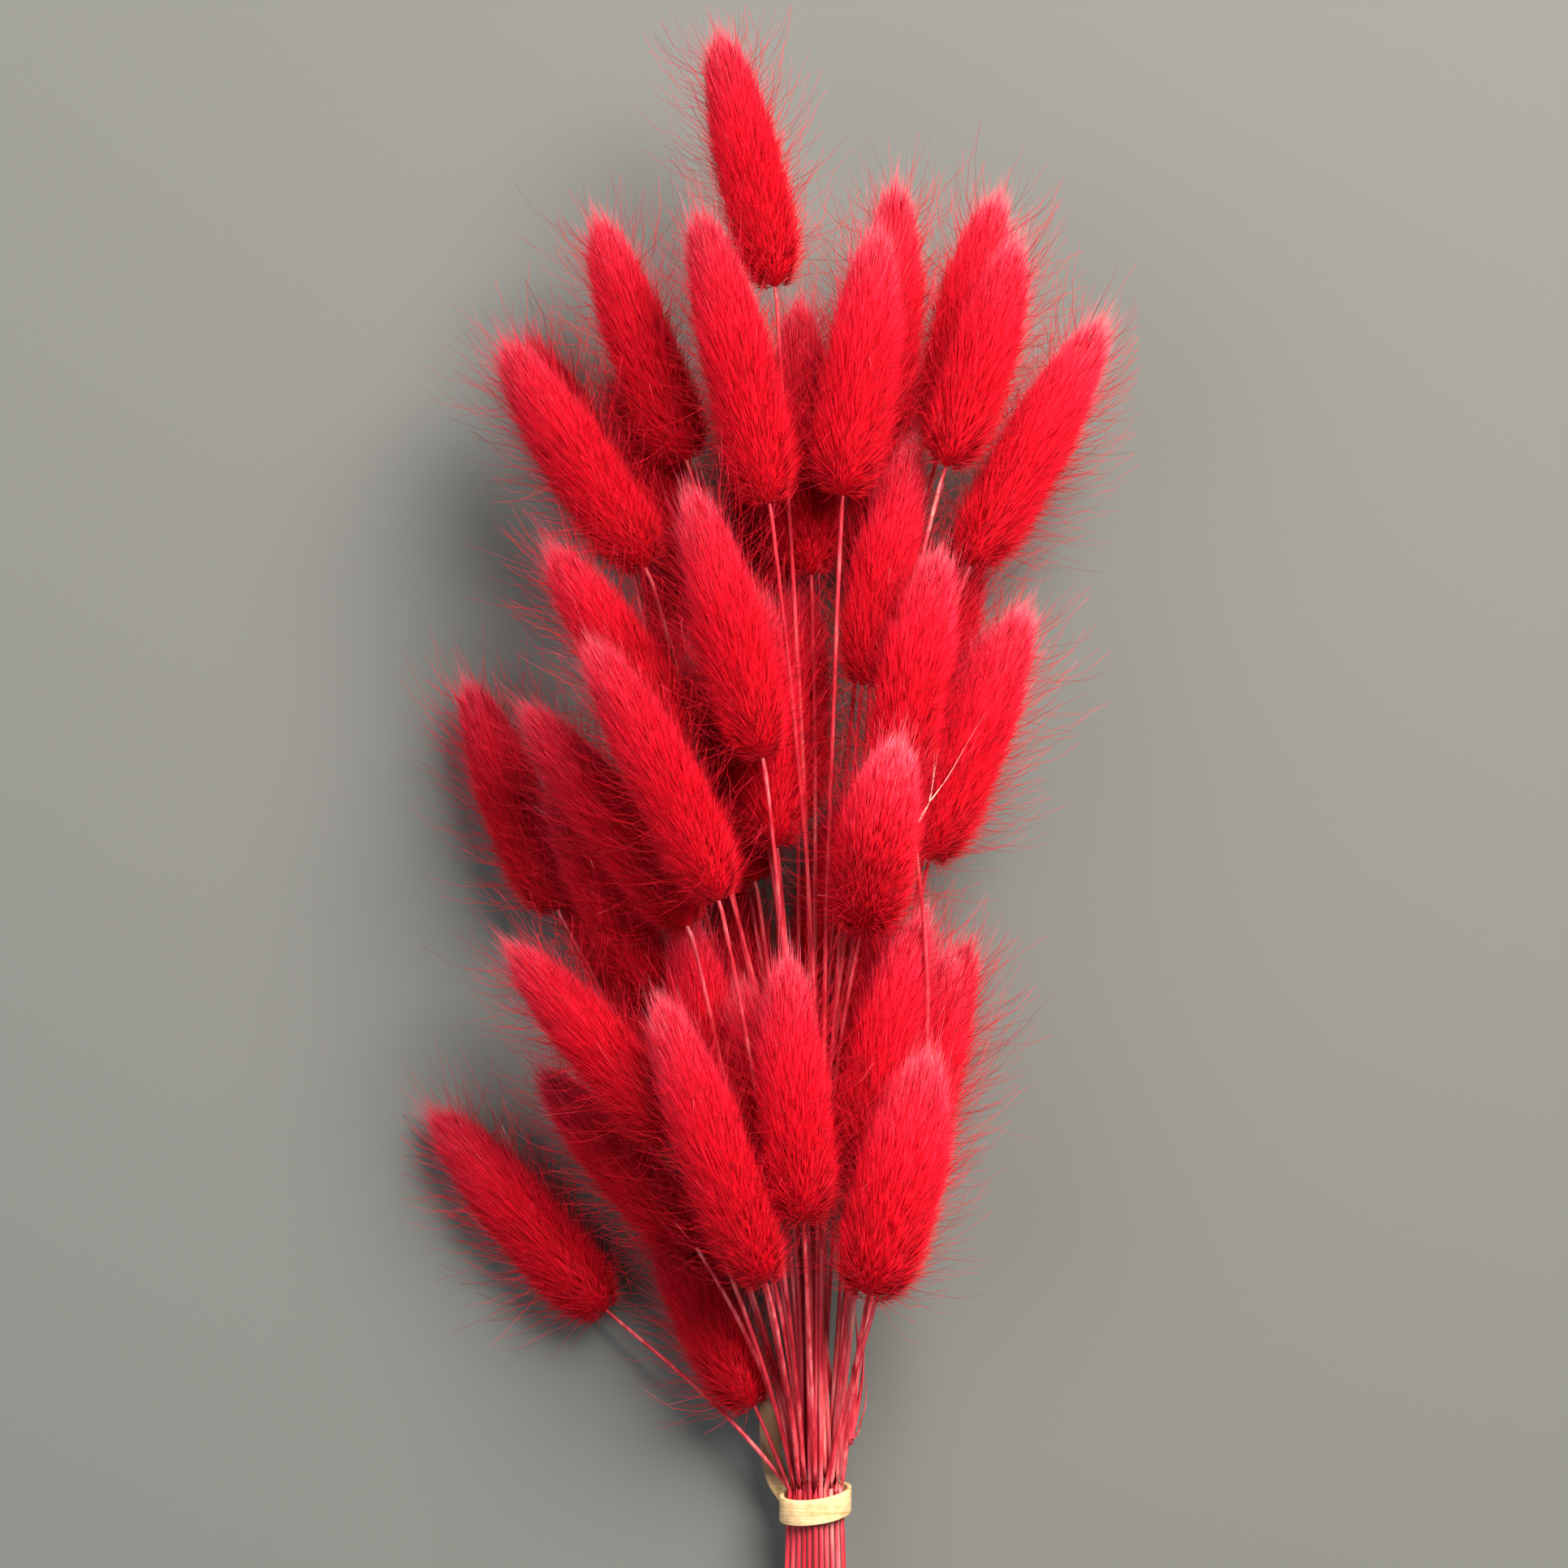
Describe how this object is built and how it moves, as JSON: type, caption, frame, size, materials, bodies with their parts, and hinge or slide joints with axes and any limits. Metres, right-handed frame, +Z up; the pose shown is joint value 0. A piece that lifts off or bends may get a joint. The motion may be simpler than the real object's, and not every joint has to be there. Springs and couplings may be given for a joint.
{
  "type": "bundle of bunny tail grass",
  "caption": "Dried bunny tail grass dyed crimson: soft oval heads on thin stems, gathered by a flat rubber band near the cut ends, lying on its side.",
  "frame": {"origin": "middle of the bundle's bounding box, on the table it lies on", "axes": "+Y along the stems from the cut ends towards the tips, +X to the right seen from above, +Z up from the table"},
  "size_m": [0.1554, 0.4496, 0.0776],
  "materials": {
    "bunny_tail": "matte",
    "rubber_band": "satin",
    "dried_leaf": "matte",
    "awn": "matte"
  },
  "bodies": {
    "root": {"bunny_tail_01": "bunny_tail", "bunny_tail_02": "bunny_tail", "bunny_tail_03": "bunny_tail", "bunny_tail_04": "bunny_tail", "bunny_tail_05": "bunny_tail", "bunny_tail_06": "bunny_tail", "bunny_tail_07": "bunny_tail", "bunny_tail_08": "bunny_tail", "bunny_tail_09": "bunny_tail", "bunny_tail_10": "bunny_tail", "bunny_tail_11": "bunny_tail", "bunny_tail_12": "bunny_tail", "bunny_tail_13": "bunny_tail", "bunny_tail_14": "bunny_tail", "bunny_tail_15": "bunny_tail", "bunny_tail_16": "bunny_tail", "bunny_tail_17": "bunny_tail", "bunny_tail_18": "bunny_tail", "bunny_tail_19": "bunny_tail", "bunny_tail_20": "bunny_tail", "bunny_tail_21": "bunny_tail", "bunny_tail_22": "bunny_tail", "bunny_tail_23": "bunny_tail", "bunny_tail_24": "bunny_tail", "bunny_tail_25": "bunny_tail", "bunny_tail_26": "bunny_tail", "bunny_tail_27": "bunny_tail", "bunny_tail_28": "bunny_tail", "bunny_tail_29": "bunny_tail", "bunny_tail_30": "bunny_tail", "bunny_tail_31": "bunny_tail", "bunny_tail_32": "bunny_tail", "bunny_tail_33": "bunny_tail", "bunny_tail_34": "bunny_tail", "bunny_tail_35": "bunny_tail", "bunny_tail_36": "bunny_tail", "bunny_tail_37": "bunny_tail", "bunny_tail_38": "bunny_tail", "bunny_tail_39": "bunny_tail", "bunny_tail_40": "bunny_tail", "bunny_tail_41": "bunny_tail", "bunny_tail_42": "bunny_tail", "bunny_tail_43": "bunny_tail", "bunny_tail_44": "bunny_tail", "bunny_tail_45": "bunny_tail", "bunny_tail_46": "bunny_tail", "bunny_tail_47": "bunny_tail", "bunny_tail_48": "bunny_tail", "rubber_band": "rubber_band", "dried_leaf_sheath": "dried_leaf", "broken_awn": "awn"}
  },
  "joints": []
}
